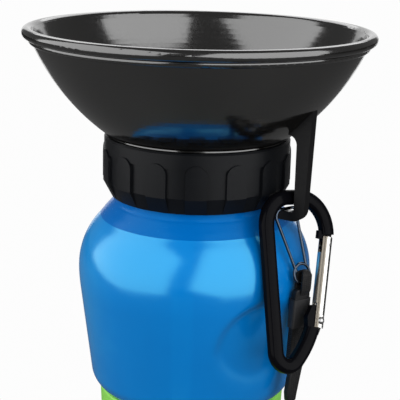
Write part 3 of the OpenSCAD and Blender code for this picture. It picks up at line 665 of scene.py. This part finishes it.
# ---------------------------------------------------------------- strap
STRAP_W, STRAP_LEN, PLY, STRAP_X, NECK_W = 7.4, 47.5, 1.2, -0.8, 4.8
STRAP_HALF, STRAP_T = STRAP_W / 2, 2 * PLY + 0.1
LOOP_HOLE_R, LOOP_PLY, LOOP_SLACK = 1.2, PLY - 0.2, 3.3
LOOP_R = LOOP_HOLE_R + LOOP_PLY
SHOULDER_Z = -LOOP_R - 2.2
FOLD_END_Z = -STRAP_LEN + 13
TAIL_HALF = 0.76 * STRAP_HALF
TIP_HALF, TIP_X = 0.62 * TAIL_HALF, -1.5
KEEPER_H, KEEPER_WALL = 11.6, 0.45
KEEPER_Z = SHOULDER_Z - 1 - KEEPER_H
STITCH_ROWS = (FOLD_END_Z + 2.2, FOLD_END_Z + 7.2)
STITCHES, STITCH_PITCH, STITCH_R = 6, 1.08, 0.12


def strap_frame():
    """Frame of the strap: its origin is the eye's lowest point."""
    return (
        clip_frame(BAIL_LEAN, 0)
        @ Matrix.Translation((EYE_X, 0, -BAIL_LEN - EYE_R))
        @ Matrix.Rotation(math.radians(1.6), 4, "Y")
        @ Matrix.Rotation(math.radians(BAIL_LEAN + 1.5), 4, "X")
    )


def strap_band():
    """The wide part, from its round shoulders down to the end of the fold."""
    left, right, low = STRAP_X - STRAP_HALF, STRAP_X + STRAP_HALF, FOLD_END_Z
    outline = [(left, low + 0.4), (left + 0.4, low), (right - 1.1, low), (right, low + 1.2)]
    for a0, a1 in ((0, 44), (136, 180)):
        outline += arc((STRAP_X, SHOULDER_Z), STRAP_HALF, a0, a1, 6)
    return soft_plate(outline, STRAP_T, 0.35)


def strap_tail():
    """The free end under the fold, as thick as the band, down to its narrow tip."""
    top, low = FOLD_END_Z + 1, -STRAP_LEN
    outline = [
        (-TAIL_HALF - 0.2, top),
        (TIP_X - TAIL_HALF + 0.2, low + 4),
        (TIP_X - TIP_HALF - 0.35, low + 0.6),
        (TIP_X - TIP_HALF + 0.3, low),
        (TIP_X + TIP_HALF - 0.3, low),
        (TIP_X + TIP_HALF + 0.35, low + 0.6),
        (TIP_X + TAIL_HALF - 0.4, low + 3.4),
        (TAIL_HALF - 0.2, top),
    ]
    return soft_plate(outline, STRAP_T - 0.02, 0.45)


def strap_loop():
    """The narrow part that runs up, over the eye's wire and down again."""
    mid = LOOP_R - LOOP_PLY / 2
    side = [(-0.6, SHOULDER_Z - 3), (-0.6, SHOULDER_Z), (-mid + 0.25, -2.6)]
    side += [(-mid, -1.4), (-mid, 0.6), (-mid, LOOP_SLACK)]
    over = arc((0, LOOP_SLACK), mid, 180, 0, 14)[1:-1]
    path = side + over + [(-y, z) for y, z in side[::-1]]
    round_z = LOOP_SLACK + LOOP_R - NECK_W / 2
    widths = []
    for _, z in path:
        lift = max(0.0, z - round_z)
        widths.append(2 * math.sqrt(max(1.0, (NECK_W / 2) ** 2 - lift * lift)))
    return ribbon(path, widths, LOOP_PLY)


def keeper():
    """Elastic ring round the strap."""
    band = round_rect(STRAP_W + 2 * KEEPER_WALL, STRAP_T + 2 * KEEPER_WALL, 0.8, 6)
    hole = round_rect(STRAP_W + 0.1, STRAP_T + 0.1, 0.5, 6)
    low, high = KEEPER_Z + 0.15, KEEPER_Z + KEEPER_H - 0.15
    rings = [(hole, low), (band, low), (band, high), (hole, high)]
    verts = [(STRAP_X + x, y, z) for ring, z in rings for x, y in ring]
    return verts, skin(4, len(band), closed=True)


def stitches():
    """Rows of short threads on both faces, with their ends sunk into the web."""
    section = circle((0, 0), STITCH_R, 8)
    threads = []
    for z in STITCH_ROWS:
        for k in range(STITCHES):
            x = STRAP_X - STRAP_HALF + 1.0 + k * STITCH_PITCH
            for face in (-1, 1):
                y = face * (STRAP_T / 2 + 0.02)
                sunk = y - face * STITCH_R
                path = [(x - 0.36, sunk, z), (x - 0.2, y, z), (x + 0.2, y, z), (x + 0.36, sunk, z)]
                threads.append(sweep(path, section))
    return join(*threads)


def make_strap():
    place = strap_frame()
    web = moved(join(strap_band(), strap_tail(), strap_loop()), place)
    obj = mesh_object("strap_webbing", *web, "strap", "black_web", sharp=50)
    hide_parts("strap_loop")
    obj = mesh_object("keeper_band", *moved(keeper(), place), "strap", "black_elastic", sharp=50)
    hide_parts("strap_keeper")
    mesh_object("strap_stitches", *moved(stitches(), place), "strap", "thread")


make_bottle()
paint_gate_reflections()
make_carabiner()
make_bail()
make_strap()

# ---------------------------------------------------------------- stage and light
FLOOR_HALF, FLOOR_Z, FLOOR_GREY = 4, -0.0002, 0.13
PAPER, WORLD_STRENGTH = 0.98, 0.14


def camera_sees(nt, out_kind, lit, seen):
    """The camera sees one shader; every other ray meets the lit one."""
    path = nt.nodes.new("ShaderNodeLightPath")
    mix = nt.nodes.new("ShaderNodeMixShader")
    nt.links.new(path.outputs["Is Camera Ray"], mix.inputs[0])
    nt.links.new(lit.outputs[0], mix.inputs[1])
    nt.links.new(seen.outputs[0], mix.inputs[2])
    nt.links.new(mix.outputs[0], nt.nodes.new(out_kind).inputs["Surface"])


def grey_shader(nt, kind, grey):
    shader = nt.nodes.new(kind)
    shader.inputs["Color"].default_value = (grey, grey, grey, 1)
    return shader


def stage_floor():
    h = FLOOR_HALF
    mesh = bpy.data.meshes.new("stage_floor")
    bm = bmesh.new()
    bm.faces.new([bm.verts.new(p) for p in ((-h, -h, 0), (h, -h, 0), (h, h, 0), (-h, h, 0))])
    bm.to_mesh(mesh)
    bm.free()
    obj = bpy.data.objects.new("stage_floor", mesh)
    obj.location.z = FLOOR_Z
    scene.collection.objects.link(obj)
    mat = bpy.data.materials.new("floor_pale")
    mat.use_nodes = True
    nt = mat.node_tree
    nt.nodes.clear()
    lit = grey_shader(nt, "ShaderNodeBsdfDiffuse", FLOOR_GREY)
    seen = grey_shader(nt, "ShaderNodeEmission", PAPER)
    camera_sees(nt, "ShaderNodeOutputMaterial", lit, seen)
    mesh.materials.append(mat)


def world():
    w = bpy.data.worlds.new("studio")
    scene.world = w
    w.use_nodes = True
    nt = w.node_tree
    nt.nodes.clear()
    lit = grey_shader(nt, "ShaderNodeBackground", 1)
    lit.inputs["Strength"].default_value = WORLD_STRENGTH
    seen = grey_shader(nt, "ShaderNodeBackground", PAPER)
    camera_sees(nt, "ShaderNodeOutputWorld", lit, seen)


def area(name, loc, target, size, power, roll=0.0):
    """Panel that lights the scene and isn't seen by the camera."""
    data = bpy.data.lights.new(name, "AREA")
    data.shape = "RECTANGLE"
    data.size, data.size_y = size
    data.energy = power
    obj = bpy.data.objects.new(name, data)
    scene.collection.objects.link(obj)
    aim = (Vector(target) - Vector(loc)).to_track_quat("-Z", "Y").to_matrix().to_4x4()
    obj.matrix_world = Matrix.Translation(loc) @ aim @ Matrix.Rotation(math.radians(roll), 4, "Z")
    obj.visible_camera = False


def softbox(name, az, dist, low, high, width, level, roll=0.0):
    """Upright panel at an azimuth from the front toward the right, facing the bottle."""
    a = math.radians(az)
    mid = (low + high) / 2
    loc = (dist * math.sin(a), -dist * math.cos(a), mid)
    power = level * math.pi * width * (high - low)
    area(name, loc, (0, 0, mid), (width, high - low), power, roll)


stage_floor()
world()
softbox("soft_left", -66.0, 0.42, 0.0, 0.81, 0.9, 2.1, -13)
softbox("soft_right", 44.0, 0.42, -0.02, 0.81, 0.72, 2.3, -16)
softbox("backdrop", 180, 0.62, 0.0, 0.45, 0.56, 1.0)
area("back_top", (0.0, 0.75, 0.75), (0, 0, 0.17), (1.0, 0.5), 4)
